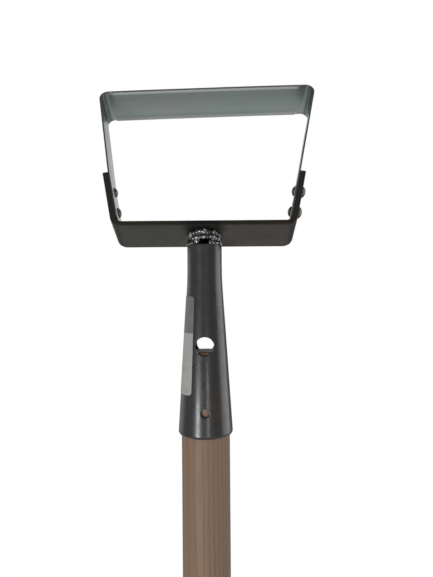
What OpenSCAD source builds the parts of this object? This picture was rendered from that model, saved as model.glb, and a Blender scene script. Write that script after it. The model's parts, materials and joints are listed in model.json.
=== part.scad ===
// Scraper hoe: a loop of spring steel riveted to a bent bar, welded to a socket on a long wooden handle.
// The origin is the centre of the socket's mouth. +Z runs along the handle to the head, and the
// loop leans back towards +Y.

/* [Handle] */
// Diameter of the round handle
handle_d = 28; // [24:0.5:30]
// Whole length of the handle, with the stretch inside the socket
handle_len = 1300; // [1100:50:1700]
// How far the handle reaches into the socket
handle_seat = 48; // [30:1:60]
// Rounding at the end that the user holds
butt_round = 9; // [4:0.5:11]

/* [Socket] */
// Outside diameter at the mouth
mouth_d = 31.4; // [31:0.1:34]
// Outside diameter of the straight neck
neck_d = 20.2; // [18:0.1:24]
// Height of the tapered part
taper_len = 90; // [70:1:95]
// Thickness of the tube
tube_wall = 1.8; // [1.2:0.05:1.85]
// Rounding of the mouth's outer edge
lip_r = 2.2; // [1.9:0.1:3]
// Diameter of the hole through both walls
hanging_hole_d = 10.5; // [8:0.1:12]
// Height of that hole above the mouth
hanging_hole_z = 51.5; // [45:0.5:60]
// Diameter of the hole for a nail, in the front wall only
nail_hole_d = 4.9; // [3:0.1:6]
// Height of the nail hole above the mouth
nail_hole_z = 14.6; // [8:0.2:30]

/* [Bracket] */
// Height above the mouth at which the handle's axis meets the bracket
head_z = 114.5; // [105:0.5:125]
// How far the head leans back from square to the handle, in degrees
head_tilt = 25; // [15:1:35]
// Width of the flat bar
bar_w = 25; // [20:0.5:30]
// Thickness of the flat bar
bar_t = 3.2; // [2.5:0.1:4]
// Length of the bracket's base, over the circles that its two bends follow
base_len = 107; // [95:0.5:120]
// Outer radius of each bend
bend_r = 6.8; // [5:0.1:9]
// Straight length of each arm above its bend
arm_len = 32.4; // [30:0.2:40]
// How far each arm flares outwards, in degrees
arm_flare = 12.7; // [8:0.1:16]

/* [Blade] */
// Width of the steel strip
strip_w = 25; // [20:0.5:30]
// Thickness of the steel strip
strip_t = 0.95; // [0.8:0.05:1.4]
// Height of the left top corner above the underside of the bracket
left_corner_h = 102.5; // [90:0.5:115]
// Height of the right top corner, which is a little more on a loop bent by hand
right_corner_h = 107.3; // [90:0.5:115]
// Outer radius of the top corners
corner_r = 5.5; // [4:0.1:8]
// How much less than the bracket the left arm flares above it, in degrees
left_straighten = 2.5; // [0.5:0.1:4]
// The same for the right arm
right_straighten = 0.5; // [0.5:0.1:4]
// Width of the ground slope along both cutting edges
ground_w = 3; // [2:0.1:5]
// Thickness left at the cutting edges
edge_t = 0.3; // [0.2:0.05:0.6]

/* [Rivets] */
// Diameter of the rivet shanks
shank_d = 4.4; // [3:0.1:5]
// Diameter of the heads on the outside of the bracket
outer_head_d = 7.3; // [6:0.1:9]
// Height of the outer heads
outer_head_h = 2.3; // [1.5:0.1:3]
// Diameter of the heads on the blade
inner_head_d = 6.3; // [5.5:0.1:8]
// Height of the inner heads
inner_head_h = 1.9; // [1.2:0.1:2.5]
// Distance from the bend to the lower rivet, along the arm
lower_rivet = 10.8; // [8:0.1:12]
// Distance between the two rivets of an arm
rivet_pitch = 15.2; // [12:0.1:18]

/* [Weld and label] */
// How far the weld stands out from the neck
weld_out = 2.6; // [1.5:0.1:4]
// How far the weld reaches down the neck
weld_down = 6; // [3:0.5:10]
// Width of the gap that the weld leaves at the front
weld_gap = 7; // [4:0.5:9]
// Lower edge of the label above the mouth
label_z = 24; // [20:1:30]
// Height of the label
label_h = 56; // [40:1:60]
// How much of the way round the socket the label goes, in degrees
label_turn = 118; // [60:1:160]

/* [Hidden] */
$fn = 96;

handle_r = handle_d / 2;
mouth_r = mouth_d / 2;
neck_r = neck_d / 2;
// The tube is widest where the rounding of its mouth ends, and bore_r is its inside at the mouth
taper = (mouth_r - neck_r) / (taper_len - lip_r);
bore_r = mouth_r - tube_wall + taper * lip_r;
butt_z = handle_seat - handle_len;
tip_chamfer = 1;

// The tube is cut square, so its back wall nearly touches the tilted bracket and its front wall doesn't
root_gap = 0.4;
weld_skin = 0.02;
// Thickness of the weld at its lower edge
weld_toe = 0.3;
// Height of the centre of the weld's open gap above the tube's end
gap_lift = 0.3;
tube_top = head_z - neck_r * tan(head_tilt) - root_gap;

// Where the bend ends and the arm starts, in the head's plane
bend_x = base_len / 2 - bend_r;
arm_foot = [bend_x + bend_r * cos(arm_flare), bend_r - bend_r * sin(arm_flare)];
arm_dir = [sin(arm_flare), cos(arm_flare)];
arm_in = [-cos(arm_flare), sin(arm_flare)];

// Points of the blade's outer line on the right side: its foot, the end of the bracket and the corner
seat_gap = 0.02;
// How far the blade goes straight on above the bracket's arms before it bends
knee_rise = 1.5;
knee_r = 60;
blade_foot = arm_foot + arm_in * (bar_t + seat_gap);
blade_knee = blade_foot + arm_dir * (arm_len + knee_rise);
right_lean = arm_flare - right_straighten;
left_lean = arm_flare - left_straighten;
right_corner = [blade_knee[0] + (right_corner_h - blade_knee[1]) * tan(right_lean), right_corner_h];
left_corner = [-blade_knee[0] - (left_corner_h - blade_knee[1]) * tan(left_lean), left_corner_h];

// The corner that the bracket's outer line would have without its bend
sharp_foot = [arm_foot[0] - arm_foot[1] * tan(arm_flare), 0];
arm_end = arm_foot + arm_dir * arm_len;

bracket_line = [mirrored(arm_end), mirrored(sharp_foot), sharp_foot, arm_end];
blade_line = [blade_foot, blade_knee, right_corner, left_corner, mirrored(blade_knee), mirrored(blade_foot)];

// How far from the top corners' bends the ground slopes stop
ground_stop = 1;

label_t = 0.2;
label_lift = 0.02;
label_front = 238;
hole_play = 0.05;
// Degrees between two points of a bend
bend_step = 5;

function mirrored(p) = [-p[0], p[1]];
function unit(v) = v / norm(v);
// A vector turned a quarter to the left, which is the inner side of both outlines
function left_of(v) = [-v[1], v[0]];
function turn_angle(a, b, c) = acos(max(-1, min(1, unit(b - a) * unit(c - b))));
function tangent_len(a, b, c, r) = r * tan(turn_angle(a, b, c) / 2);

// The points of one bend, at a depth under the strip's outer face
function bend_arc(a, b, c, r, depth) =
    let (turn = turn_angle(a, b, c),
         start = b - unit(b - a) * tangent_len(a, b, c, r),
         centre = start + left_of(unit(b - a)) * r,
         from = atan2(start[1] - centre[1], start[0] - centre[0]),
         steps = max(2, ceil(turn / bend_step)))
    [for (i = [0 : steps])
        let (at = from + turn * i / steps) centre + (r - depth) * [cos(at), sin(at)]];

// One face of a strip that follows an outer line, with a radius at each inner point of the line
function strip_face(line, radii, depth) =
    let (last = len(line) - 1,
         first_in = left_of(unit(line[1] - line[0])) * depth,
         last_in = left_of(unit(line[last] - line[last - 1])) * depth)
    [line[0] + first_in,
     for (i = [1 : last - 1]) each bend_arc(line[i - 1], line[i], line[i + 1], radii[i - 1], depth),
     line[last] + last_in];

function reversed(list) = [for (i = [len(list) - 1 : -1 : 0]) list[i]];

// The side view of a bent strip of thickness t
module strip_outline(line, radii, t) {
    polygon(concat(strip_face(line, radii, 0), reversed(strip_face(line, radii, t))));
}

// Puts a shape drawn in the head's plane in place: x across, y up the loop, z towards the front
module head_place() {
    translate([0, 0, head_z]) rotate([90 - head_tilt, 0, 0]) children();
}

// Puts a rivet's axis on an arm: z points outwards and z = 0 is the bracket's outer face
module rivet_place(side, along) {
    spot = arm_foot + arm_dir * along;
    mirror([side < 0 ? 1 : 0, 0, 0]) translate([spot[0], spot[1], 0]) rotate([0, 90, -arm_flare]) children();
}

module rivet_holes() {
    for (side = [-1, 1], along = [lower_rivet, lower_rivet + rivet_pitch])
        rivet_place(side, along) translate([0, 0, -2 * bar_t])
            cylinder(h = 4 * bar_t, d = shank_d + hole_play);
}

module handle() {
    color("tan") rotate_extrude() {
        polygon([[0, butt_z + butt_round], [handle_r, butt_z + butt_round], [handle_r, 0],
                 [handle_r - taper * (handle_seat - tip_chamfer), handle_seat - tip_chamfer],
                 [handle_r - taper * handle_seat - tip_chamfer, handle_seat], [0, handle_seat]]);
        polygon([[0, butt_z], [handle_r - butt_round, butt_z], [handle_r - butt_round, butt_z + butt_round],
                 [0, butt_z + butt_round]]);
        intersection() {
            translate([handle_r - butt_round, butt_z + butt_round]) circle(butt_round);
            translate([handle_r - butt_round, butt_z]) square(butt_round);
        }
    }
}

module socket() {
    color("dimgray") difference() {
        rotate_extrude() {
            polygon([[mouth_r - tube_wall, lip_r], [mouth_r, lip_r], [neck_r, taper_len], [neck_r, tube_top],
                     [neck_r - tube_wall, tube_top], [neck_r - tube_wall, taper_len]]);
            intersection() {
                translate([mouth_r - lip_r, lip_r]) circle(lip_r);
                polygon([[bore_r, 0], [mouth_r, 0], [mouth_r, lip_r], [mouth_r - tube_wall, lip_r]]);
            }
        }
        translate([0, mouth_d, hanging_hole_z]) rotate([90, 0, 0])
            cylinder(h = 2 * mouth_d, d = hanging_hole_d);
        translate([0, -neck_r, nail_hole_z]) rotate([90, 0, 0]) cylinder(h = mouth_r, d = nail_hole_d);
    }
}

module bracket() {
    color("darkslategray") head_place() difference() {
        translate([0, 0, -bar_w / 2]) linear_extrude(bar_w)
            strip_outline(bracket_line, [bend_r, bend_r], bar_t);
        rivet_holes();
    }
}

module blade() {
    skew = atan2(right_corner_h - left_corner_h, right_corner[0] - left_corner[0]);
    slope = atan((strip_t - edge_t) / ground_w);
    corner_cut = tangent_len(blade_knee, right_corner, left_corner, corner_r);
    straight = norm(right_corner - left_corner) - 2 * (corner_cut + ground_stop);
    color("lightsteelblue") head_place() difference() {
        translate([0, 0, -strip_w / 2]) linear_extrude(strip_w)
            strip_outline(blade_line, [knee_r, corner_r, corner_r, knee_r], strip_t);
        rivet_holes();
        translate([left_corner[0], left_corner[1], 0]) rotate(skew)
            for (side = [-1, 1]) mirror([0, 0, side < 0 ? 1 : 0])
                translate([corner_cut + ground_stop, 0, strip_w / 2 - ground_w]) rotate([slope, 0, 0])
                    cube([straight, ground_w, 2 * ground_w]);
    }
}

module weld_bead() {
    out_r = neck_r + weld_out;
    color("black") difference() {
        union() {
            translate([0, 0, tube_top]) cylinder(h = head_z + neck_r - tube_top, r = out_r);
            translate([0, 0, tube_top - weld_down])
                cylinder(h = weld_down, r1 = neck_r + weld_toe, r2 = out_r);
        }
        translate([0, 0, tube_top - 2 * weld_down]) cylinder(h = 2 * weld_down + weld_skin, r = neck_r);
        translate([0, 0, tube_top - weld_down]) cylinder(h = neck_d, r = neck_r - tube_wall);
        translate([0, 0, head_z]) rotate([-head_tilt, 0, 0])
            translate([-mouth_d, -mouth_d, 0]) cube(2 * mouth_d);
        translate([0, -neck_r / 2, tube_top + gap_lift]) rotate([90, 0, 0])
            cylinder(h = mouth_d, d = weld_gap);
    }
}

// A round head of a given diameter and height, standing on z = 0
module dome(d, h) {
    ball_r = (d * d / 4 + h * h) / (2 * h);
    intersection() {
        translate([0, 0, h - ball_r]) sphere(ball_r);
        cylinder(h = h + 1, d = d + 1);
    }
}

module rivet(side, along) {
    grip = bar_t + seat_gap + strip_t;
    color("gray") head_place() rivet_place(side, along) {
        dome(outer_head_d, outer_head_h);
        translate([0, 0, -grip]) cylinder(h = grip, d = shank_d);
        translate([0, 0, -grip]) mirror([0, 0, 1]) dome(inner_head_d, inner_head_h);
    }
}

module label() {
    low_r = mouth_r - taper * (label_z - lip_r) + label_lift;
    high_r = low_r - taper * label_h;
    color("silver") rotate(label_front - label_turn) rotate_extrude(angle = label_turn)
        polygon([[low_r, label_z], [low_r + label_t, label_z], [high_r + label_t, label_z + label_h],
                 [high_r, label_z + label_h]]);
}

handle();
socket();
bracket();
weld_bead();
blade();
rivet(-1, lower_rivet);  // rivet_left_lower
rivet(-1, lower_rivet + rivet_pitch);  // rivet_left_upper
rivet(1, lower_rivet);  // rivet_right_lower
rivet(1, lower_rivet + rivet_pitch);  // rivet_right_upper
label();
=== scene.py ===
import json
import math

import bmesh
import bpy
from mathutils import Matrix, Vector, noise

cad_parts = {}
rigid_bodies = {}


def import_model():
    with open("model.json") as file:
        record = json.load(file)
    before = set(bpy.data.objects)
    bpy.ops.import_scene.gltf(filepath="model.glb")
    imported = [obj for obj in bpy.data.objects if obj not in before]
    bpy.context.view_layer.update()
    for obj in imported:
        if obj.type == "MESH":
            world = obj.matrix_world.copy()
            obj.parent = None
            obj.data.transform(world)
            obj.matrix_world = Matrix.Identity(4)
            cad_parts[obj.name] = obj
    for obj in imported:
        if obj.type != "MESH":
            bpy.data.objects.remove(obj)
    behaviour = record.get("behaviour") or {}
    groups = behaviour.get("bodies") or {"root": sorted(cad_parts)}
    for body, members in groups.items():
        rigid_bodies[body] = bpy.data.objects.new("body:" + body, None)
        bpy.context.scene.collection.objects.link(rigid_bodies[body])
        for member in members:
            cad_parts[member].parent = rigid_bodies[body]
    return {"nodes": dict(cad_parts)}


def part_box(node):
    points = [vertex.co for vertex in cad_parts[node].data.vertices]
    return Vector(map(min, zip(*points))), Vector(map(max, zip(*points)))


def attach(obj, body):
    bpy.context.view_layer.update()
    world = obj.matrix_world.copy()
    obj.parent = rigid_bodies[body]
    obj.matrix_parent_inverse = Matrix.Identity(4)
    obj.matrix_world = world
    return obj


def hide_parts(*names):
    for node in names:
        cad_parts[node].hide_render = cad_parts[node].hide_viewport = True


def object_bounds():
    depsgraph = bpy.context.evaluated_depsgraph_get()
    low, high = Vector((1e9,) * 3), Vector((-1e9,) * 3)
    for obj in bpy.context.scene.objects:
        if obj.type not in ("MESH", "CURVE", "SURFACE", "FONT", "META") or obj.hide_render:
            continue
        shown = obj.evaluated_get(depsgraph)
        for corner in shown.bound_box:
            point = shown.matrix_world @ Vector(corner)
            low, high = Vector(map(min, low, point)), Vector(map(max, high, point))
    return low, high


for spare in list(bpy.data.objects):  # what a new file starts with
    bpy.data.objects.remove(spare)

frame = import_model()
cadLow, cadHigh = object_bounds()
print("frame loaded:", len(frame["nodes"]), "nodes")

mm = 0.001

# The tool stands on its handle's end. The origin is the middle of the socket's mouth, the front is -Y,
# and the head leans back to +Y. Sizes here are in millimetres until a mesh is put in place.
socketLow, socketHigh = (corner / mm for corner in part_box("socket"))
handleLow, handleHigh = (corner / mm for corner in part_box("handle"))

head = {"height": 114.5, "tilt": 25}

# Drawn flat in the head's plane: x across, y up the loop, z towards the front
headPlace = (Matrix.Translation((0, 0, head["height"]))
             @ Matrix.Rotation(math.radians(90 - head["tilt"]), 4, "X"))


# Small helpers

def shade(red, green, blue):
    # A colour picked on screen, as the linear one that the nodes want
    def linear(level):
        level /= 255
        return level / 12.92 if level <= 0.04045 else ((level + 0.055) / 1.055) ** 2.4
    return (linear(red), linear(green), linear(blue), 1)


def put(tree, kind, sockets=None, **options):
    # Adds a node, sets its options, then links or fills its inputs
    node = tree.nodes.new(kind)
    for option, value in options.items():
        setattr(node, option, value)
    for socket, value in (sockets or {}).items():
        if isinstance(value, bpy.types.NodeSocket):
            tree.links.new(value, node.inputs[socket])
        else:
            node.inputs[socket].default_value = value
    return node


def calc(tree, operation, *values, clamp=False):
    kind = "ShaderNodeMath"
    return put(tree, kind, dict(enumerate(values)), operation=operation, use_clamp=clamp).outputs[0]


def spread(tree, value, fromLow, fromHigh, toLow=0, toHigh=1):
    sockets = {"Value": value, "From Min": fromLow, "From Max": fromHigh, "To Min": toLow, "To Max": toHigh}
    return put(tree, "ShaderNodeMapRange", sockets).outputs["Result"]


def mixed(tree, factor, first, second, blend="MIX"):
    node = put(tree, "ShaderNodeMix", data_type="RGBA", blend_type=blend)
    for socket, value in ((0, factor), (6, first), (7, second)):
        if isinstance(value, bpy.types.NodeSocket):
            tree.links.new(value, node.inputs[socket])
        else:
            node.inputs[socket].default_value = value
    return node.outputs[2]


def grain(tree, where, size, detail=3, roughness=0.5, stretch=(1, 1, 1), distortion=0):
    # Noise whose blobs are about size millimetres across, drawn out by stretch
    scale = tuple(1 / (size * mm * long) for long in stretch)
    moved = put(tree, "ShaderNodeMapping", {"Vector": where, "Scale": scale}).outputs[0]
    sockets = {"Vector": moved, "Scale": 1.0, "Detail": detail, "Roughness": roughness, "Distortion": distortion}
    return put(tree, "ShaderNodeTexNoise", sockets).outputs["Fac"]


def bumped(tree, height, depth, before=None):
    # Depth is in millimetres, as the height goes from 0 to 1
    sockets = {"Height": height, "Distance": depth * mm, "Strength": 1.0}
    if before:
        sockets["Normal"] = before
    return put(tree, "ShaderNodeBump", sockets).outputs[0]


def newMaterial(name, **fixed):
    material = bpy.data.materials.new(name)
    material.use_nodes = True
    tree = material.node_tree
    shader = tree.nodes["Principled BSDF"]
    for socket, value in fixed.items():
        shader.inputs[socket.replace("_", " ")].default_value = value
    where = put(tree, "ShaderNodeTexCoord").outputs["Object"]
    return material, tree, shader, where


def connect(tree, shader, **sockets):
    for socket, value in sockets.items():
        tree.links.new(value, shader.inputs[socket.replace("_", " ")])


def attribute(tree, name):
    return put(tree, "ShaderNodeAttribute", attribute_name=name).outputs["Fac"]


def newPiece(name, points, faces, edges=(), material=None, place=None):
    mesh = bpy.data.meshes.new(name)
    mesh.from_pydata([Vector(point) for point in points], edges, faces)
    mesh.transform(Matrix.Scale(mm, 4) @ (place or Matrix.Identity(4)))
    mesh.update()
    if material:
        mesh.materials.append(material)
    mesh.shade_smooth()
    piece = bpy.data.objects.new(name, mesh)
    bpy.context.scene.collection.objects.link(piece)
    return piece


def outwards(piece):
    shape = bmesh.new()
    shape.from_mesh(piece.data)
    bmesh.ops.remove_doubles(shape, verts=shape.verts, dist=0.002 * mm)
    bmesh.ops.recalc_face_normals(shape, faces=shape.faces)
    shape.to_mesh(piece.data)
    shape.free()


def paintPoints(piece, name, values):
    layer = piece.data.attributes.new(name, "FLOAT", "POINT")
    layer.data.foreach_set("value", values)


def handOver(piece, slot, *nodes):
    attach(piece, "root")
    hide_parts(*nodes)
    print("made", piece.name, "with", len(piece.data.polygons), "faces")


# Geometry Nodes helpers

def newTree(name, inputs):
    tree = bpy.data.node_groups.new(name, "GeometryNodeTree")
    tree.interface.new_socket("Geometry", in_out="INPUT", socket_type="NodeSocketGeometry")
    for label, value in inputs.items():
        if label == "Material":
            kind = "NodeSocketMaterial"
        elif isinstance(value, tuple):
            kind = "NodeSocketVector"
        else:
            kind = "NodeSocketFloat"
        socket = tree.interface.new_socket(label, in_out="INPUT", socket_type=kind)
        if label != "Material":
            socket.default_value = value
    tree.interface.new_socket("Geometry", in_out="OUTPUT", socket_type="NodeSocketGeometry")
    return tree, tree.nodes.new("NodeGroupInput").outputs


def endTree(tree, geometry, material):
    single = put(tree, "GeometryNodeRealizeInstances", {"Geometry": geometry}).outputs[0]
    finished = put(tree, "GeometryNodeSetMaterial", {"Geometry": single, "Material": material}).outputs[0]
    put(tree, "NodeGroupOutput", {"Geometry": finished})


def named(tree, name, kind="FLOAT"):
    return put(tree, "GeometryNodeInputNamedAttribute", {"Name": name}, data_type=kind).outputs["Attribute"]


def vector(tree, x=0, y=0, z=0):
    return put(tree, "ShaderNodeCombineXYZ", {0: x, 1: y, 2: z}).outputs[0]


def applyTree(piece, tree, values):
    modifier = piece.modifiers.new(tree.name, "NODES")
    modifier.node_group = tree
    for item in tree.interface.items_tree:
        if item.in_out == "INPUT" and item.name in values:
            modifier[item.identifier] = values[item.name]
    graph = bpy.context.evaluated_depsgraph_get()
    made = bpy.data.meshes.new_from_object(piece.evaluated_get(graph), preserve_all_data_layers=True, depsgraph=graph)
    piece.modifiers.remove(modifier)
    piece.data = made
    made.name = piece.name


# Materials

def makeLacquer():
    # Glossy dark gunmetal lacquer with orange peel, thin and grey where it has worn
    material, tree, shader, where = newMaterial("lacquer", IOR=1.5, Coat_Weight=0.2, Coat_Roughness=0.12)
    patches = spread(tree, grain(tree, where, 14, 4, 0.6, (1, 1, 3)), 0.38, 0.64)
    cool = mixed(tree, patches, shade(50, 53, 55), shade(63, 58, 54))
    specks = spread(tree, grain(tree, where, 0.55, 2, 0.7), 0.66, 0.76)
    dusty = mixed(tree, calc(tree, "MULTIPLY", specks, 0.5), cool, shade(104, 104, 104))
    wear = calc(tree, "ADD", attribute(tree, "wear"), spread(tree, grain(tree, where, 1.2, 4, 0.7), 0.3, 0.7, -0.3, 0.3))
    bare = spread(tree, wear, 0.62, 0.74)
    colour = mixed(tree, bare, dusty, shade(150, 148, 146))
    peel = grain(tree, where, 1.1, 3, 0.55)
    fine = grain(tree, where, 0.28, 2, 0.5)
    normal = bumped(tree, fine, 0.006, bumped(tree, peel, 0.022))
    gloss = spread(tree, grain(tree, where, 6, 3), 0.3, 0.7, 0.25, 0.38)
    roughness = calc(tree, "ADD", gloss, calc(tree, "MULTIPLY", bare, 0.18))
    connect(tree, shader, Base_Color=colour, Roughness=roughness, Normal=normal,
            Metallic=calc(tree, "MULTIPLY", bare, 0.8))
    return material


def makeBarSteel():
    # Satin black with an olive tone on the left and a brown one on the right, thin over rolled scale
    material, tree, shader, where = newMaterial("barSteel", IOR=1.5, Specular_IOR_Level=0.3, Coat_Weight=0.04,
                                                Coat_Roughness=0.3)
    side = put(tree, "ShaderNodeSeparateXYZ", {"Vector": where}).outputs["X"]
    blotch = grain(tree, where, 9, 4, 0.6, (2.5, 1, 1))
    uneven = spread(tree, blotch, 0.3, 0.7, -0.35, 0.35)
    lean = calc(tree, "ADD", spread(tree, side, -0.05, 0.05), uneven, clamp=True)
    colour = mixed(tree, lean, shade(43, 46, 36), shade(48, 40, 35))
    scale = spread(tree, grain(tree, where, 0.9, 4, 0.7), 0.56, 0.72)
    colour = mixed(tree, calc(tree, "MULTIPLY", scale, 0.3), colour, shade(76, 74, 68))
    # Darker round the weld: soot, and painted shade on the plate's underside next to the weld
    away = put(tree, "ShaderNodeVectorMath", {0: where, 1: (0, -0.009, 0.118)},
               operation="DISTANCE").outputs["Value"]
    ragged = calc(tree, "ADD", away, calc(tree, "MULTIPLY", grain(tree, where, 4, 4, 0.6), 0.007))
    sootAndShade = spread(tree, ragged, 0.0115, 0.017, 0.9, 0)
    colour = mixed(tree, sootAndShade, colour, shade(14, 14, 14))
    rolled = grain(tree, where, 0.4, 3, 0.6, (7, 1, 1))
    normal = bumped(tree, rolled, 0.012, bumped(tree, grain(tree, where, 2.4, 3), 0.05))
    roughness = calc(tree, "ADD", spread(tree, blotch, 0.3, 0.7, 0.4, 0.54), calc(tree, "MULTIPLY", sootAndShade, 0.3))
    connect(tree, shader, Base_Color=colour, Roughness=roughness, Normal=normal)
    return material


def makeSpringSteel():
    # Bare spring steel: rolled along the strip, faint heat tint, brighter where it is ground
    material, tree, shader, where = newMaterial("springSteel", Metallic=0.85)
    streaks = grain(tree, where, 1.1, 4, 0.65, (30, 1, 1))
    clouds = grain(tree, where, 17, 3, 0.5, (2.2, 1, 1))
    colour = mixed(tree, spread(tree, clouds, 0.3, 0.7), shade(134, 147, 145), shade(152, 162, 157))
    rust = spread(tree, grain(tree, where, 11, 3, 0.5, (1.6, 1, 0.7)), 0.54, 0.7, 0, 0.35)
    colour = mixed(tree, rust, colour, shade(168, 150, 146))
    teal = spread(tree, grain(tree, where, 13, 2, 0.5, (1.8, 1, 1)), 0.55, 0.72, 0, 0.5)
    colour = mixed(tree, teal, colour, shade(128, 158, 160))
    colour = mixed(tree, spread(tree, streaks, 0.3, 0.7, 0, 0.16), colour, shade(104, 108, 112))
    # The strip is darker towards its front edge: painted shade
    front = put(tree, "ShaderNodeVectorMath", {0: where, 1: tuple(headPlace.col[2][:3])},
                operation="DOT_PRODUCT").outputs["Value"]
    middle = head["height"] * mm * headPlace.col[2][2]
    paintedFrontShade = spread(tree, front, middle - 0.008, middle + 0.0125, 0.08, 0.62)
    colour = mixed(tree, paintedFrontShade, colour, shade(92, 102, 100))
    ground = attribute(tree, "ground")
    colour = mixed(tree, calc(tree, "MULTIPLY", ground, 0.7), colour, shade(196, 198, 200))
    lines = grain(tree, where, 0.16, 2, 0.6, (1, 14, 14))
    normal = bumped(tree, calc(tree, "MULTIPLY", lines, ground), 0.012, bumped(tree, streaks, 0.006))
    roughness = spread(tree, clouds, 0.3, 0.7, 0.34, 0.44)
    connect(tree, shader, Base_Color=colour, Roughness=roughness, Normal=normal)
    return material


def makeRivetSteel():
    material, tree, shader, where = newMaterial("rivetSteel", Metallic=0.8)
    blotch = grain(tree, where, 1.3, 4, 0.6)
    colour = mixed(tree, spread(tree, blotch, 0.35, 0.65), shade(70, 70, 70), shade(128, 127, 125))
    normal = bumped(tree, grain(tree, where, 0.5, 3, 0.6), 0.03)
    connect(tree, shader, Base_Color=colour, Normal=normal, Roughness=spread(tree, blotch, 0.3, 0.7, 0.3, 0.48))
    return material


def makeWeldSteel():
    # Lacquer over a lumpy weld. It is darker in random patches, for soot and for the painted shade of its hollows, and
    # bright in a few patches that are partly bare metal and partly painted glints
    material, tree, shader, where = newMaterial("weldSteel", IOR=1.6, Coat_Weight=1.0, Coat_Roughness=0.05)
    sootAndShade = spread(tree, grain(tree, where, 2.6, 4, 0.65), 0.42, 0.6)
    colour = mixed(tree, sootAndShade, shade(58, 57, 55), shade(24, 24, 23))
    # Painted glints: these bright patches stand for highlights on the glossy lumps, as well as some bare metal
    bareAndGlint = spread(tree, grain(tree, where, 3.4, 2, 0.5), 0.52, 0.6, 0, 0.9)
    colour = mixed(tree, bareAndGlint, colour, shade(205, 203, 202))
    normal = bumped(tree, grain(tree, where, 1.1, 2, 0.5), 0.16)
    connect(tree, shader, Base_Color=colour, Normal=normal, Roughness=spread(tree, sootAndShade, 0, 1, 0.12, 0.4),
            Metallic=calc(tree, "MULTIPLY", bareAndGlint, 0.25))
    return material


def makeWood():
    # Straight-grained ash, dull brown with age. Rings run round an axis beside the handle's own.
    material, tree, shader, where = newMaterial("wood", IOR=1.45, Specular_IOR_Level=0.3)
    wander = grain(tree, where, 30, 2, 0.5, (1, 1, 9))
    bent = put(tree, "ShaderNodeVectorMath", {0: where, 1: vector(tree, calc(tree, "MULTIPLY", wander, 0.006), 0, 0)},
               operation="ADD").outputs[0]
    centred = put(tree, "ShaderNodeMapping", {"Vector": bent, "Location": (0.021, 0.034, 0)}).outputs[0]
    parts = put(tree, "ShaderNodeSeparateXYZ", {"Vector": centred}).outputs
    across = calc(tree, "SQRT", calc(tree, "ADD", calc(tree, "MULTIPLY", parts["X"], parts["X"]),
                                     calc(tree, "MULTIPLY", parts["Y"], parts["Y"])))
    rings = calc(tree, "FRACT", calc(tree, "MULTIPLY", across, 1 / (2.6 * mm)))
    late = spread(tree, rings, 0.55, 0.98)
    colour = mixed(tree, calc(tree, "MULTIPLY", late, 0.55), shade(150, 125, 104), shade(118, 93, 74))
    fibre = grain(tree, where, 0.35, 4, 0.7, (1, 1, 60))
    colour = mixed(tree, spread(tree, fibre, 0.35, 0.7, 0, 0.4), colour, shade(104, 82, 64))
    cloudy = spread(tree, grain(tree, where, 22, 3, 0.5, (1, 1, 4)), 0.35, 0.68, 0, 0.4)
    colour = mixed(tree, cloudy, colour, shade(142, 122, 108))
    pores = spread(tree, grain(tree, where, 0.22, 2, 0.6, (1, 1, 34)), 0.62, 0.72)
    colour = mixed(tree, calc(tree, "MULTIPLY", pores, 0.35), colour, shade(78, 58, 43))
    normal = bumped(tree, pores, -0.02, bumped(tree, fibre, 0.02))
    connect(tree, shader, Base_Color=colour, Normal=normal, Roughness=spread(tree, fibre, 0.3, 0.7, 0.5, 0.66))
    return material


def makeLabelFilm():
    material, tree, shader, where = newMaterial("labelFilm", IOR=1.46)
    up = put(tree, "ShaderNodeSeparateXYZ", {"Vector": where}).outputs["Z"]
    band = spread(tree, up, 0.0585, 0.0590)
    colour = mixed(tree, band, shade(176, 176, 173), shade(116, 114, 112))
    stain = spread(tree, grain(tree, where, 7, 4, 0.6), 0.4, 0.7, 0, 0.3)
    colour = mixed(tree, stain, colour, shade(140, 138, 132))
    normal = bumped(tree, grain(tree, where, 3.5, 2), 0.04)
    connect(tree, shader, Base_Color=colour, Normal=normal, Roughness=spread(tree, stain, 0, 0.3, 0.42, 0.58))
    return material


lacquer = makeLacquer()
barSteel = makeBarSteel()
springSteel = makeSpringSteel()
rivetSteel = makeRivetSteel()
weldSteel = makeWeldSteel()
wood = makeWood()
labelFilm = makeLabelFilm()
print("materials ready:", len(bpy.data.materials))


# Socket: a tapered tube with a rounded mouth, a hole through both walls and a nail hole in the front

socket = {
    "mouth": socketHigh.x, "neck": 10.1, "top": socketHigh.z, "taperEnd": 90, "wall": 1.8, "lip": 2.2,
    "columns": 160, "rowStep": 1.0, "kneeBlend": 7, "endRound": 0.4,
    "hangingHole": {"radius": 5.25, "inside": 5.25, "height": 51.5, "sides": (0, 180), "patch": (15, 8)},
    "nailHole": {"radius": 2.45, "inside": 2.05, "height": 14.6, "sides": (0,), "patch": (6, 4)},
    "chips": ((18.4, -15, 0.8), (18.2, 5, 0.6)),
}
taper = (socket["mouth"] - socket["neck"]) / (socket["taperEnd"] - socket["lip"])


def socketRadius(height):
    # The cone and the straight neck run into each other over a short stretch
    below = socket["taperEnd"] - height
    blend = socket["kneeBlend"]
    if below > blend:
        rise = below
    elif below < -blend:
        rise = 0
    else:
        rise = (below + blend) ** 2 / (4 * blend)
    return socket["neck"] + taper * rise


def onSocket(angle, height, depth=0):
    # The angle is in degrees from the front, towards the right
    radius = socketRadius(height) - depth
    return Vector((radius * math.sin(math.radians(angle)), -radius * math.cos(math.radians(angle)), height))


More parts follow.
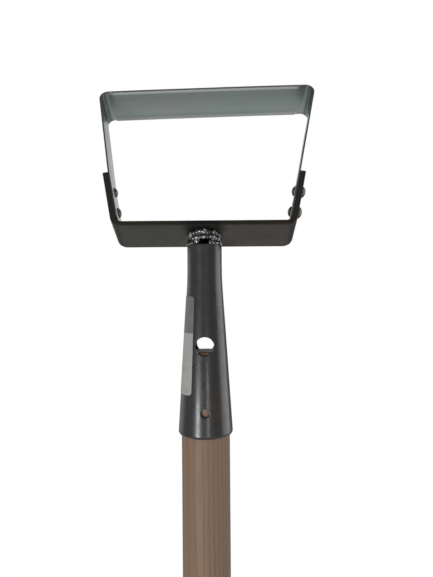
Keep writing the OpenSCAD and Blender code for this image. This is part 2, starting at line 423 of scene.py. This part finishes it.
def socketProfile():
    # Once round the wall's section, from the inner corner of the mouth: (depth under the outer face, height)
    lip, wall, top, end = socket["lip"], socket["wall"], socket["top"], socket["endRound"]
    lipSteps, endSteps = 12, 5
    innerCorner = math.asin((lip - wall) / lip)
    bend = [(lip - lip * math.sin(turn), lip - lip * math.cos(turn))
            for turn in (innerCorner + (math.pi / 2 - innerCorner) * i / lipSteps for i in range(lipSteps + 1))]
    rows = round((top - end - lip) / socket["rowStep"])
    climb = [lip + (top - end - lip) * i / rows for i in range(rows + 1)]
    outerEnd = [(end - end * math.cos(turn), top - end + end * math.sin(turn))
                for turn in (math.pi / 2 * i / endSteps for i in range(1, endSteps + 1))]
    innerEnd = [(wall - depth, height) for depth, height in reversed(outerEnd)]
    inner = [(wall, height) for height in reversed(climb)]
    return bend + [(0, height) for height in climb[1:]] + outerEnd + innerEnd + inner


def makeSocket():
    profile = socketProfile()
    columns = socket["columns"]
    step = 360 / columns
    points = [onSocket(step * column, height, depth) for depth, height in profile for column in range(columns)]
    wear = [0.0] * len(points)
    for row, (depth, height) in enumerate(profile):
        if height < socket["lip"] and depth < socket["wall"]:
            for column in range(columns):
                wear[row * columns + column] = 0.42 * (1 - height / socket["lip"])
    faces = {}
    for row in range(len(profile)):
        for column in range(columns):
            ahead, above = (column + 1) % columns, (row + 1) % len(profile)
            faces[row, column] = (row * columns + column, row * columns + ahead,
                                  above * columns + ahead, above * columns + column)
    extra = []

    def patchRows(hole, depth):
        half = hole["patch"][1]
        wanted = [row for row, (inward, height) in enumerate(profile)
                  if abs(inward - depth) < 1e-6 and abs(height - hole["height"]) <= half + 0.5 * socket["rowStep"]]
        return min(wanted), max(wanted)

    def ringPoints(hole, side, angles, distances, depth):
        made = []
        for angle, distance in zip(angles, distances):
            across, up = distance * math.cos(angle), distance * math.sin(angle)
            height = hole["height"] + up
            radius = socketRadius(height) - depth
            place = Vector((across, -math.sqrt(radius * radius - across * across), height))
            made.append(Matrix.Rotation(math.radians(side), 3, "Z") @ place)
        return made

    def cutPatch(hole, side, depth):
        # Opens the wall round a hole, and gives back the border as (point, angle, distance), once round
        middle = round(side / step)
        halfColumns = hole["patch"][0]
        lowRow, highRow = patchRows(hole, depth)
        left, right = middle - halfColumns, middle + halfColumns
        for row in range(lowRow, highRow):
            for column in range(left, right):
                faces.pop((row, column % columns))
        border = ([(lowRow, column) for column in range(left, right)]
                  + [(row, right) for row in range(lowRow, highRow)]
                  + [(highRow, column) for column in range(right, left, -1)]
                  + [(row, left) for row in range(highRow, lowRow, -1)])
        found = []
        for row, column in border:
            index = row * columns + column % columns
            local = Matrix.Rotation(math.radians(-side), 3, "Z") @ points[index]
            up = local.z - hole["height"]
            found.append((index, math.atan2(up, local.x), math.hypot(up, local.x)))
        return found

    def addRing(places, level):
        start = len(points)
        points.extend(places)
        wear.extend([level] * len(places))
        return list(range(start, start + len(places)))

    def bridge(ring, other):
        count = len(ring)
        for i in range(count):
            extra.append((ring[i], ring[(i + 1) % count], other[(i + 1) % count], other[i]))

    for hole in (socket["hangingHole"], socket["nailHole"]):
        for side in hole["sides"]:
            # Inner rows run downwards, so both borders are put in the order of their angles
            outer = sorted(cutPatch(hole, side, 0), key=lambda spot: spot[1])
            inner = sorted(cutPatch(hole, side, socket["wall"]), key=lambda spot: spot[1])
            angles = [angle for _, angle, _ in outer]
            count = len(outer)
            rings = []
            for border, size, depth in ((outer, hole["radius"], 0), (inner, hole["inside"], socket["wall"])):
                ends = [spot[0] for spot in border]
                chain = [ends]
                for share in (0.72, 0.48, 0.28, 0.14, 0.05):
                    along = [angles[i] * (1 - share) + border[i][1] * share for i in range(count)]
                    far = [size + 0.3 + (border[i][2] - size - 0.3) * share for i in range(count)]
                    chain.append(addRing(ringPoints(hole, side, along, far, depth), max(0, 0.3 - share)))
                rings.append((chain, size, depth))
            (outerChain, outerSize, _), (innerChain, innerSize, wall) = rings
            # The edge is broken by a small rounding on each face, and the bore runs between them
            edge = ((outerSize + 0.30, 0.0, 0.5), (outerSize + 0.13, 0.04, 0.62), (outerSize + 0.03, 0.14, 0.6),
                    (outerSize, 0.32, 0.3), ((outerSize + innerSize) / 2, wall / 2, 0.05),
                    (innerSize, wall - 0.3, 0), (innerSize + 0.05, wall - 0.1, 0), (innerSize + 0.3, wall, 0))
            bore = [addRing(ringPoints(hole, side, angles, [size] * count, depth), level)
                    for size, depth, level in edge]
            ordered = outerChain + bore + list(reversed(innerChain))
            for one, other in zip(ordered, ordered[1:]):
                bridge(one, other)

    # Chips in the lacquer near the nail hole
    for height, angle, size in socket["chips"]:
        spot = onSocket(angle, height)
        for i, point in enumerate(points):
            near = (point - spot).length
            if near < 2 * size:
                wear[i] = max(wear[i], 1.1 - 0.6 * near / size)

    piece = newPiece("socket_tube", points, list(faces.values()) + extra, material=lacquer)
    paintPoints(piece, "wear", wear)
    outwards(piece)
    return piece


handOver(makeSocket(), "lacquered_steel", "socket")


# Handle: a turned pole, tapered into the socket, with a flat tip and a rounded end

handle = {
    "radius": handleHigh.x, "top": handleHigh.z, "bottom": handleLow.z, "buttRound": 9, "tipChamfer": 1,
    "sides": 112, "rowStep": 6, "uneven": 0.05, "unevenSize": 22,
}


def makeHandle():
    radius, top, bottom = handle["radius"], handle["top"], handle["bottom"]
    chamfer, butt = handle["tipChamfer"], handle["buttRound"]
    tip = radius - taper * (top - chamfer)
    arcSteps, innerRings = 14, 6
    line = [(tip - chamfer, top), (tip - 0.55 * chamfer, top - 0.2 * chamfer), (tip - 0.2 * chamfer, top - 0.55 * chamfer),
            (tip, top - chamfer), (tip + 0.4 * taper * top, top * 0.6), (radius - 0.1, 1.6), (radius, 0)]
    rows = round((butt - bottom) / handle["rowStep"]) - 2
    line += [(radius, (bottom + butt) * i / rows) for i in range(1, rows + 1)]
    line += [(radius - butt + butt * math.cos(turn), bottom + butt - butt * math.sin(turn))
             for turn in (math.pi / 2 * i / arcSteps for i in range(1, arcSteps + 1))]
    line = ([((tip - chamfer) * i / innerRings, top) for i in range(1, innerRings)] + line
            + [((radius - butt) * (1 - i / innerRings), bottom) for i in range(1, innerRings)])
    sides = handle["sides"]
    points = []
    for size, height in line:
        for side in range(sides):
            turn = 2 * math.pi * side / sides
            spot = Vector((size * math.cos(turn), size * math.sin(turn), height))
            dent = handle["uneven"] * noise.noise(Vector((spot.x, spot.y, spot.z / 4)) / handle["unevenSize"])
            points.append(spot * (1 - (0.5 * handle["uneven"] - 0.5 * dent) / radius) if height < 0 else spot)
    # The squashing above also moves the height a little, so it is put back
    for i, point in enumerate(points):
        point.z = line[i // sides][1]
    faces = [(row * sides + side, row * sides + (side + 1) % sides, (row + 1) * sides + (side + 1) % sides,
              (row + 1) * sides + side) for row in range(len(line) - 1) for side in range(sides)]
    for first, height in ((0, top), ((len(line) - 1) * sides, bottom)):
        middle = len(points)
        points.append(Vector((0, 0, height)))
        faces += [(first + side, first + (side + 1) % sides, middle) for side in range(sides)]
    piece = newPiece("handle_pole", points, faces, material=wood)
    outwards(piece)
    return piece


handOver(makeHandle(), "handle_wood", "handle")


# Bracket and blade: flat strips that follow a bent line in the head's plane

bracket = {
    "width": 25, "thickness": 3.2, "baseOverBends": 107, "bend": 6.8, "arm": 32.4, "flare": 12.7, "edge": 0.5,
    "step": 1.0, "wavy": 0.06,
}
blade = {
    "width": 25, "thickness": 0.95, "leftCorner": 102.5, "rightCorner": 107.3, "corner": 5.5, "knee": 60,
    "kneeRise": 1.5, "leftStraighten": 2.5, "rightStraighten": 0.5, "gap": 0.02, "edge": 0.16, "step": 0.8,
    "ground": 3, "groundEdge": 0.3, "groundStop": 1, "crown": 0.35, "wavy": 0.1,
}


def lineCorners():
    # The corners of both outer lines, on the right: the arm's foot and direction come from the bend
    flare = math.radians(bracket["flare"])
    bend = bracket["bend"]
    middle = bracket["baseOverBends"] / 2 - bend
    foot = Vector((middle + bend * math.cos(flare), bend - bend * math.sin(flare)))
    up, inwards = Vector((math.sin(flare), math.cos(flare))), Vector((-math.cos(flare), math.sin(flare)))
    sharp = Vector((foot.x - foot.y * math.tan(flare), 0))
    bladeFoot = foot + inwards * (bracket["thickness"] + blade["gap"])
    knee = bladeFoot + up * (bracket["arm"] + blade["kneeRise"])

    def topCorner(height, straighten):
        lean = math.tan(flare - math.radians(straighten))
        return Vector((knee.x + (height - knee.y) * lean, height))
    return (foot + up * bracket["arm"], sharp, bladeFoot, knee,
            topCorner(blade["rightCorner"], blade["rightStraighten"]),
            mirrored(topCorner(blade["leftCorner"], blade["leftStraighten"])))


def mirrored(spot):
    return Vector((-spot.x, spot.y))


def shiftedLine(corners, distance):
    # The line moved to its left by distance, with sharp corners
    moved = []
    for i, spot in enumerate(corners):
        sides = []
        if i > 0:
            sides.append((spot - corners[i - 1]).normalized())
        if i < len(corners) - 1:
            sides.append((corners[i + 1] - spot).normalized())
        normals = [Vector((-side.y, side.x)) for side in sides]
        middle = (normals[0] + normals[-1]).normalized()
        moved.append(spot + middle * distance / middle.dot(normals[0]))
    return moved


def stripTree():
    # Sweeps a flat section along a line with rounded corners, all drawn flat in millimetres
    tree, given = newTree("stripAlongLine", {
        "Step": 1.0, "Crown": 0.0, "Crown Height": 0.0, "Half Crown": 1.0, "Ground Width": 0.0, "Ground Depth": 0.0,
        "Ground Half": 1.0, "Ground Above": 0.0, "Section Half": 1.0, "Waviness": 0.0, "Lean": 0.0, "Height": 0.0,
        "Material": None})
    isSection = named(tree, "isSection")
    parts = put(tree, "GeometryNodeSeparateGeometry",
                {"Geometry": given["Geometry"], "Selection": calc(tree, "GREATER_THAN", isSection, 0.5)}).outputs
    lines = []
    for part, count in ((parts["Inverted"], 14), (parts["Selection"], 4)):
        curve = put(tree, "GeometryNodeMeshToCurve", {"Mesh": part}).outputs[0]
        bend = named(tree, "bend")
        rounded = put(tree, "GeometryNodeFilletCurve", {"Curve": curve, "Radius": bend, "Count": count, "Limit Radius": True},
                      mode="POLY").outputs[0]
        lines.append(rounded)
    path = put(tree, "GeometryNodeResampleCurve", {"Curve": lines[0], "Length": given["Step"]}, mode="LENGTH").outputs[0]
    path = put(tree, "GeometryNodeSetCurveNormal", {"Curve": path}, mode="Z_UP").outputs[0]
    across = put(tree, "GeometryNodeInputPosition").outputs[0]
    kept = put(tree, "GeometryNodeCaptureAttribute")
    kept.capture_items.new("VECTOR", "Section")
    tree.links.new(lines[1], kept.inputs["Geometry"])
    tree.links.new(across, kept.inputs["Section"])
    sweep = put(tree, "GeometryNodeCurveToMesh", {"Curve": path, "Profile Curve": kept.outputs["Geometry"],
                                                  "Fill Caps": True}).outputs[0]
    section = put(tree, "ShaderNodeSeparateXYZ", {"Vector": kept.outputs["Section"]}).outputs
    here = put(tree, "ShaderNodeSeparateXYZ", {"Vector": put(tree, "GeometryNodeInputPosition").outputs[0]}).outputs
    x, y = here["X"], here["Y"]

    # The ground slopes thin the outer face towards both edges of the top stretch
    fromEdge = calc(tree, "SUBTRACT", given["Section Half"], calc(tree, "ABSOLUTE", section["Y"]))
    slope = calc(tree, "SUBTRACT", 1.0, calc(tree, "DIVIDE", fromEdge, given["Ground Width"]), clamp=True)
    onTop = calc(tree, "GREATER_THAN", y, given["Ground Above"])
    sideways = calc(tree, "SUBTRACT", given["Ground Half"], calc(tree, "ABSOLUTE", x))
    fade = calc(tree, "MULTIPLY", spread(tree, sideways, 0, 2), onTop)
    outer = calc(tree, "LESS_THAN", section["X"], 0.0)
    groundHere = calc(tree, "MULTIPLY", calc(tree, "MULTIPLY", slope, fade), outer)
    lowered = calc(tree, "MULTIPLY", groundHere, calc(tree, "MULTIPLY", given["Ground Depth"], -1.0))

    # The top stretch bows out a little in the middle
    part = calc(tree, "DIVIDE", x, given["Half Crown"])
    bow = calc(tree, "MAXIMUM", calc(tree, "SUBTRACT", 1.0, calc(tree, "MULTIPLY", part, part)), 0.0)
    above = calc(tree, "GREATER_THAN", y, given["Crown Height"])
    raised = calc(tree, "MULTIPLY", calc(tree, "MULTIPLY", bow, above), given["Crown"])
    shifted = vector(tree, 0, calc(tree, "ADD", lowered, raised), 0)
    bent = put(tree, "GeometryNodeSetPosition", {"Geometry": sweep, "Offset": shifted}).outputs[0]
    marked = put(tree, "GeometryNodeStoreNamedAttribute",
                 {"Geometry": bent, "Name": "ground", "Value": calc(tree, "GREATER_THAN", groundHere, 0.01)},
                 data_type="FLOAT", domain="POINT").outputs[0]

    wave = put(tree, "ShaderNodeTexNoise", {"Vector": put(tree, "GeometryNodeInputPosition").outputs[0],
                                            "Scale": 0.045, "Detail": 1.0}).outputs["Color"]
    centred = put(tree, "ShaderNodeVectorMath", {0: wave, 1: (0.5, 0.5, 0.5)}, operation="SUBTRACT").outputs[0]
    small = put(tree, "ShaderNodeVectorMath", {0: centred, "Scale": given["Waviness"]}, operation="SCALE").outputs[0]
    wavy = put(tree, "GeometryNodeSetPosition", {"Geometry": marked, "Offset": small}).outputs[0]
    turned = put(tree, "GeometryNodeTransform", {
        "Geometry": wavy, "Rotation": vector(tree, given["Lean"], 0, 0), "Scale": (mm, mm, mm),
        "Translation": vector(tree, 0, 0, given["Height"])}).outputs[0]
    endTree(tree, turned, given["Material"])
    return tree


def flatSection(sizes):
    # Half across the strip, with points beside each corner so that the flat faces stay flat
    half, thin, edge = sizes["width"] / 2, sizes["thickness"] / 2, sizes["edge"]
    ground = sizes.get("ground", 0)
    beside = [half - 2.2 * edge]
    stops = sorted(beside + ([half - ground, half - ground / 2] if ground else []) + [half * 0.5, 0.0])
    stops = sorted({round(-stop, 4) for stop in stops} | {round(stop, 4) for stop in stops})
    left = [(-thin, stop) for stop in stops]
    right = [(thin, stop) for stop in reversed(stops)]
    loop = [(-thin, -half)] + left + [(-thin, half), (thin, half)] + right + [(thin, -half)]
    return loop, [edge if abs(y) == half else 0 for x, y in loop]


def makeStrip(name, corners, bends, sizes, material, inputs):
    line = shiftedLine(corners, sizes["thickness"] / 2)
    section, sectionBends = flatSection(sizes)
    points = [(spot.x, spot.y, 0) for spot in line] + [(x, y, 0) for x, y in section]
    first = len(line)
    edges = [(i, i + 1) for i in range(first - 1)]
    edges += [(first + i, first + (i + 1) % len(section)) for i in range(len(section))]
    piece = newPiece(name, [Vector(point) / mm for point in points], [], edges)
    paintPoints(piece, "isSection", [0.0] * first + [1.0] * len(section))
    paintPoints(piece, "bend", [0.0] + [bend - sizes["thickness"] / 2 for bend in bends] + [0.0] + sectionBends)
    values = {"Step": sizes["step"], "Waviness": sizes["wavy"], "Section Half": sizes["width"] / 2,
              "Lean": math.radians(90 - head["tilt"]), "Height": head["height"] * mm, "Material": material}
    applyTree(piece, stripBuilder, values | inputs)
    outwards(piece)
    return piece


stripBuilder = stripTree()
armEnd, sharpFoot, bladeFoot, knee, rightCorner, leftCorner = lineCorners()

bracketPiece = makeStrip("bracket_bar",[mirrored(armEnd), mirrored(sharpFoot), sharpFoot, armEnd],
                         [bracket["bend"]] * 2, bracket, barSteel,
                         {"Crown": 0.0, "Crown Height": 1000.0, "Half Crown": 1.0, "Ground Width": 1.0,
                          "Ground Depth": 0.0, "Ground Half": 1.0, "Ground Above": 1000.0})
handOver(bracketPiece, "bar_steel", "bracket")

bladeTop = min(blade["leftCorner"], blade["rightCorner"]) - 3
bladePiece = makeStrip("blade_strip",[bladeFoot, knee, rightCorner, leftCorner, mirrored(knee), mirrored(bladeFoot)],
                       [blade["knee"], blade["corner"], blade["corner"], blade["knee"]], blade, springSteel,
                       {"Crown": blade["crown"], "Crown Height": bladeTop - 2, "Half Crown": rightCorner.x,
                        "Ground Width": float(blade["ground"]), "Ground Depth": blade["thickness"] - blade["groundEdge"],
                        "Ground Half": abs(leftCorner.x) - blade["corner"] - blade["groundStop"],
                        "Ground Above": bladeTop - 2})
handOver(bladePiece, "spring_steel", "blade")


# Rivets: two in each arm, hammered over on the blade

rivet = {
    "shank": 2.2, "outerHead": 3.65, "outerHeight": 2.3, "innerHead": 3.15, "innerHeight": 1.9,
    "lower": 10.8, "pitch": 15.2, "sides": 28, "hammered": 0.16, "leftFlat": 0.25,
}


def rivetTree():
    tree, given = newTree("rivetsOnArms", {"Hammered": 0.1, "Lean": 0.0, "Height": 0.0, "Material": None})
    isPlace = calc(tree, "GREATER_THAN", named(tree, "isPlace"), 0.5)
    parts = put(tree, "GeometryNodeSeparateGeometry", {"Geometry": given["Geometry"], "Selection": isPlace}).outputs
    turn = put(tree, "FunctionNodeAlignRotationToVector", {"Vector": named(tree, "outward", "FLOAT_VECTOR")}, axis="Z").outputs[0]
    spin = put(tree, "FunctionNodeRandomValue", {"Min": (0.0, 0.0, 0.0), "Max": (0.0, 0.0, 6.28), "Seed": 7},
               data_type="FLOAT_VECTOR").outputs[0]
    both = put(tree, "FunctionNodeRotateRotation", {"Rotation": turn, "Rotate By": spin}, rotation_space="LOCAL").outputs[0]
    size = put(tree, "FunctionNodeRandomValue", {"Min": (0.96, 0.96, 1.0), "Max": (1.03, 1.03, 1.0), "Seed": 3},
               data_type="FLOAT_VECTOR").outputs[0]
    four = put(tree, "GeometryNodeInstanceOnPoints", {"Points": parts["Selection"], "Instance": parts["Inverted"],
                                                      "Rotation": both, "Scale": size}).outputs[0]
    real = put(tree, "GeometryNodeRealizeInstances", {"Geometry": four}).outputs[0]
    dents = put(tree, "ShaderNodeTexNoise", {"Vector": put(tree, "GeometryNodeInputPosition").outputs[0],
                                             "Scale": 0.62, "Detail": 1.0}).outputs["Fac"]
    deep = calc(tree, "MULTIPLY", calc(tree, "MULTIPLY", calc(tree, "SUBTRACT", dents, 0.6), given["Hammered"]), 2.0)
    push = put(tree, "ShaderNodeVectorMath", {0: put(tree, "GeometryNodeInputNormal").outputs[0], "Scale": deep},
               operation="SCALE").outputs[0]
    onHead = calc(tree, "GREATER_THAN", named(tree, "isHead"), 0.5)
    beaten = put(tree, "GeometryNodeSetPosition", {"Geometry": real, "Selection": onHead, "Offset": push}).outputs[0]
    placed = put(tree, "GeometryNodeTransform", {
        "Geometry": beaten, "Rotation": vector(tree, given["Lean"], 0, 0), "Scale": (mm, mm, mm),
        "Translation": vector(tree, 0, 0, given["Height"])}).outputs[0]
    endTree(tree, placed, given["Material"])
    return tree


def rivetLine():
    # Half the section of one rivet, from the top of its outer head to the top of its inner head
    steps = 9
    grip = bracket["thickness"] + blade["gap"] + blade["thickness"]
    turns = [math.pi / 2 * i / steps for i in range(steps + 1)]
    outer = [(rivet["outerHead"] * math.sin(turn), rivet["outerHeight"] * math.cos(turn) ** 1.2, 1) for turn in turns]
    inner = [(rivet["innerHead"] * math.sin(turn), -grip - rivet["innerHeight"] * math.cos(turn) ** 1.2, 1)
             for turn in reversed(turns)]
    return outer + [(rivet["shank"], 0, 0), (rivet["shank"], -grip, 0)] + inner


def makeRivets():
    line, sides = rivetLine(), rivet["sides"]
    points, heads = [], []
    for radius, height, isHead in line:
        for side in range(sides):
            turn = 2 * math.pi * side / sides
            points.append(Vector((max(radius, 0.001) * math.cos(turn), max(radius, 0.001) * math.sin(turn), height)))
            heads.append(float(isHead))
    faces = [(row * sides + side, row * sides + (side + 1) % sides, (row + 1) * sides + (side + 1) % sides,
              (row + 1) * sides + side) for row in range(len(line) - 1) for side in range(sides)]
    faces += [tuple(range(sides)), tuple(range((len(line) - 1) * sides, len(line) * sides))]
    solid = len(points)
    flare = math.radians(bracket["flare"])
    normals = [(0.0, 0.0, 0.0)] * solid
    for side in (-1, 1):
        foot = armEnd - Vector((math.sin(flare), math.cos(flare))) * bracket["arm"]
        for along in (rivet["lower"], rivet["lower"] + rivet["pitch"]):
            spot = foot + Vector((math.sin(flare), math.cos(flare))) * along
            points.append(Vector((side * spot.x, spot.y, 0)))
            heads.append(0.0)
            normals.append((side * math.cos(flare), -math.sin(flare), 0.0))
    piece = newPiece("rivets", [point / mm for point in points], faces)
    paintPoints(piece, "isPlace", [0.0] * solid + [1.0] * (len(points) - solid))
    paintPoints(piece, "isHead", heads)
    layer = piece.data.attributes.new("outward", "FLOAT_VECTOR", "POINT")
    layer.data.foreach_set("vector", [part for normal in normals for part in normal])
    applyTree(piece, rivetTree(), {"Hammered": rivet["hammered"], "Lean": math.radians(90 - head["tilt"]),
                                   "Height": head["height"] * mm, "Material": rivetSteel})
    # The heads on the outside of the left arm are beaten nearly flat
    place = Matrix.Scale(mm, 4) @ headPlace
    flat = place.inverted()
    out = Vector((-math.cos(flare), -math.sin(flare), 0))
    for point in piece.data.vertices:
        spot = flat @ point.co
        proud = (spot - Vector((-armEnd.x, armEnd.y, 0))).dot(out)
        if spot.x < 0 and proud > 0:
            point.co = place @ (spot - out * proud * (1 - rivet["leftFlat"]))
    outwards(piece)
    return piece


handOver(makeRivets(), "rivet_steel", "rivet_left_lower", "rivet_left_upper", "rivet_right_lower", "rivet_right_upper")


# Weld: ripples laid round the neck, from one side of the front gap to the other

# Passes from the tube's end up to the plate: share of the way up, radius, half of the gap left at the front
weld = {
    "passes": ((0.14, 9.3, 24), (0.46, 8.9, 0), (0.78, 8.7, 0)), "size": 1.5, "spacing": 2.3, "steps": 90,
    "voxel": 0.26, "smooth": 1, "bends": 4, "wander": 0.9,
}


def weldTree():
    tree, given = newTree("rippleWeld", {"Spacing": 1.4, "Ripple": 2.6, "Material": None})
    path = put(tree, "GeometryNodeMeshToCurve", {"Mesh": given["Geometry"]}).outputs[0]
    spots = put(tree, "GeometryNodeCurveToPoints", {"Curve": path, "Length": given["Spacing"]}, mode="LENGTH").outputs
    lump = put(tree, "GeometryNodeMeshIcoSphere", {"Radius": 1.0, "Subdivisions": 3}).outputs["Mesh"]
    low = put(tree, "ShaderNodeVectorMath", {0: (0.78, 1.0, 0.92), "Scale": given["Ripple"]}, operation="SCALE").outputs[0]
    high = put(tree, "ShaderNodeVectorMath", {0: (0.95, 1.22, 1.22), "Scale": given["Ripple"]}, operation="SCALE").outputs[0]
    size = put(tree, "FunctionNodeRandomValue", {"Min": low, "Max": high, "Seed": 5}, data_type="FLOAT_VECTOR").outputs[0]
    laid = put(tree, "GeometryNodeInstanceOnPoints", {"Points": spots["Points"], "Instance": lump,
                                                      "Rotation": spots["Rotation"], "Scale": size}).outputs[0]
    scaled = put(tree, "GeometryNodeTransform", {"Geometry": laid, "Scale": (mm, mm, mm)}).outputs[0]
    endTree(tree, scaled, given["Material"])
    return tree


def makeWeld():
    steps = weld["steps"]
    points, edges = [], []
    for share, radius, gap in weld["passes"]:
        first = len(points)
        for i in range(steps + 1):
            angle = math.radians(gap + (360 - 2 * gap) * i / steps)
            # A hand-laid weld wanders in and out, and up and down
            spot = Vector((math.sin(angle), math.cos(angle), share)) * weld["bends"]
            far = radius + weld["wander"] * noise.noise(spot)
            x, y = far * math.sin(angle), -far * math.cos(angle)
            under = head["height"] - math.tan(math.radians(head["tilt"])) * y  # the plate is lower at the back
            lift = weld["wander"] * noise.noise(spot + Vector((9, 0, 0)))
            points.append(Vector((x, y, socket["top"] + (under - socket["top"]) * share + lift)) / mm)
        edges += [(first + i, first + i + 1) for i in range(steps)]
    piece = newPiece("weld_ripples", points, [], edges)
    applyTree(piece, weldTree(), {"Spacing": weld["spacing"], "Ripple": weld["size"], "Material": weldSteel})
    piece.data.materials.clear()  # the remesh below puts every face in the first slot
    piece.data.materials.append(weldSteel)
    melted = piece.modifiers.new("melted", "REMESH")
    melted.mode = "VOXEL"
    melted.voxel_size = weld["voxel"] * mm
    melted.use_smooth_shade = True
    flowed = piece.modifiers.new("flowed", "SMOOTH")
    flowed.iterations = weld["smooth"]
    return piece


handOver(makeWeld(), "weld_steel", "weld_bead")


# Label: a plain film round the left of the socket

label = {"low": 24, "high": 80, "front": -32, "turn": 118, "corner": 2.2, "lift": 0.05, "thick": 0.14, "columns": 70,
         "rows": 70}


def makeLabel():
    columns, rows = label["columns"], label["rows"]
    points = []
    for row in range(rows + 1):
        up = row / rows
        height = label["low"] + (label["high"] - label["low"]) * up
        for column in range(columns + 1):
            across = column / columns
            arc = math.radians(label["turn"]) * socketRadius(height)
            # Rounds the corners by drawing the ends of the outermost rows in
            fromEnd = min(up, 1 - up) * (label["high"] - label["low"])
            cut = max(0, label["corner"] - fromEnd)
            drawn = (label["corner"] - math.sqrt(max(0, label["corner"] ** 2 - cut ** 2))) / arc
            share = drawn + across * (1 - 2 * drawn)
            angle = label["front"] - label["turn"] * share
            wrinkle = 0.05 * max(0, noise.noise(Vector((across * 5, up * 6, 3))))
            points.append(onSocket(angle, height, -label["lift"] - wrinkle))
    across = columns + 1
    faces = [(row * across + column, row * across + column + 1, (row + 1) * across + column + 1,
              (row + 1) * across + column) for row in range(rows) for column in range(columns)]
    piece = newPiece("label_patch", points, faces, material=labelFilm)
    outwards(piece)
    shell = piece.modifiers.new("film", "SOLIDIFY")
    shell.thickness = label["thick"] * mm
    shell.offset = 1
    return piece


handOver(makeLabel(), "label_film", "label")


# Camera, at the photograph's place

view = {"place": (8.59, -291.35, 82.39), "yaw": -0.347, "pitch": 0.329, "roll": 0.435, "focalPixels": 499.53,
        "framePixels": 577, "sensor": 36}


def makeCamera():
    yaw, pitch, roll = (math.radians(view[name]) for name in ("yaw", "pitch", "roll"))
    ahead = Vector((math.sin(yaw) * math.cos(pitch), math.cos(yaw) * math.cos(pitch), math.sin(pitch)))
    right = Vector((math.cos(yaw), -math.sin(yaw), 0))
    down = ahead.cross(right)
    rolledRight = math.cos(roll) * right + math.sin(roll) * down
    rolledDown = -math.sin(roll) * right + math.cos(roll) * down
    lens = bpy.data.cameras.new("camera")
    lens.sensor_width = view["sensor"]
    lens.lens = view["focalPixels"] / view["framePixels"] * view["sensor"]
    lens.clip_start = 0.01
    camera = bpy.data.objects.new("camera", lens)
    camera.matrix_world = (Matrix.Translation(Vector(view["place"]) * mm)
                           @ Matrix((rolledRight, -rolledDown, -ahead)).transposed().to_4x4())
    bpy.context.scene.collection.objects.link(camera)
    bpy.context.scene.camera = camera


# Studio: a pale floor under the handle's end, soft lights, and plain white behind

studio = {
    "floorRadius": 1.7, "worldLow": 0.17, "worldHigh": 0.2,
    "lights": (("strip", -32, -20, 1.1, (0.29, 0.5), 6.6), ("second", 12, -15, 1.4, (0.2, 0.6), 2.2),
               ("rightFill", 102, 0, 1.5, (1.3, 1.3), 11),
               ("leftFill", -125, 5, 1.5, (1.2, 1.3), 3), ("back", 180, 12, 1.5, (1.3, 0.8), 3.5),
               ("topFill", 150, 65, 1.6, (1.2, 1.2), 4), ("underFill", 180, -50, 1.1, (1.2, 1.2), 2.4)),
}


def makeLights():
    # Each light stands at an angle from the front, to the right, and a height angle, and faces the head
    aim = Vector((0, 0, 0.08))
    for name, side, up, distance, size, power in studio["lights"]:
        lamp = bpy.data.lights.new(name, "AREA")
        lamp.shape = "RECTANGLE"
        lamp.size, lamp.size_y = size
        lamp.energy = power
        turn, lift = math.radians(side), math.radians(up)
        away = Vector((math.sin(turn) * math.cos(lift), -math.cos(turn) * math.cos(lift), math.sin(lift)))
        holder = bpy.data.objects.new(name, lamp)
        holder.location = aim + away * distance
        holder.rotation_mode = "QUATERNION"
        holder.rotation_quaternion = away.to_track_quat("Z", "Y")
        holder.visible_camera = False
        bpy.context.scene.collection.objects.link(holder)


def makeWorld():
    world = bpy.data.worlds.new("studio")
    world.use_nodes = True
    tree = world.node_tree
    tree.nodes.clear()
    up = put(tree, "ShaderNodeSeparateXYZ", {"Vector": put(tree, "ShaderNodeTexCoord").outputs["Generated"]}).outputs["Z"]
    strength = spread(tree, up, -1, 1, studio["worldLow"], studio["worldHigh"])
    dim = put(tree, "ShaderNodeBackground", {"Strength": strength}).outputs[0]
    white = put(tree, "ShaderNodeBackground", {"Color": (1, 1, 1, 1), "Strength": 1.0}).outputs[0]
    seen = put(tree, "ShaderNodeLightPath").outputs["Is Camera Ray"]
    both = put(tree, "ShaderNodeMixShader", {0: seen, 1: dim, 2: white}).outputs[0]
    put(tree, "ShaderNodeOutputWorld", {"Surface": both})
    bpy.context.scene.world = world
    bpy.context.scene.view_settings.view_transform = "Standard"


def makeFloor():
    sides, radius = 128, studio["floorRadius"]
    ring = [(radius * math.cos(2 * math.pi * i / sides) / mm, radius * math.sin(2 * math.pi * i / sides) / mm,
             cadLow.z / mm) for i in range(sides)]
    paint = bpy.data.materials.new("floorPaint")
    paint.use_nodes = True
    tree = paint.node_tree
    tree.nodes["Principled BSDF"].inputs["Base Color"].default_value = shade(238, 238, 236)
    tree.nodes["Principled BSDF"].inputs["Roughness"].default_value = 0.7
    where = put(tree, "ShaderNodeTexCoord").outputs["Object"]
    flat = put(tree, "ShaderNodeVectorMath", {0: where, 1: (1.0, 1.0, 0.0)}, operation="MULTIPLY").outputs[0]
    away = put(tree, "ShaderNodeVectorMath", {0: flat}, operation="LENGTH").outputs["Value"]
    tree.links.new(spread(tree, away, 0.55 * radius, 0.98 * radius, 1, 0), tree.nodes["Principled BSDF"].inputs["Alpha"])
    floor = newPiece("floor", ring, [tuple(range(sides))], material=paint)


makeCamera()
makeWorld()
makeLights()
makeFloor()
print("camera, lights and floor ready")
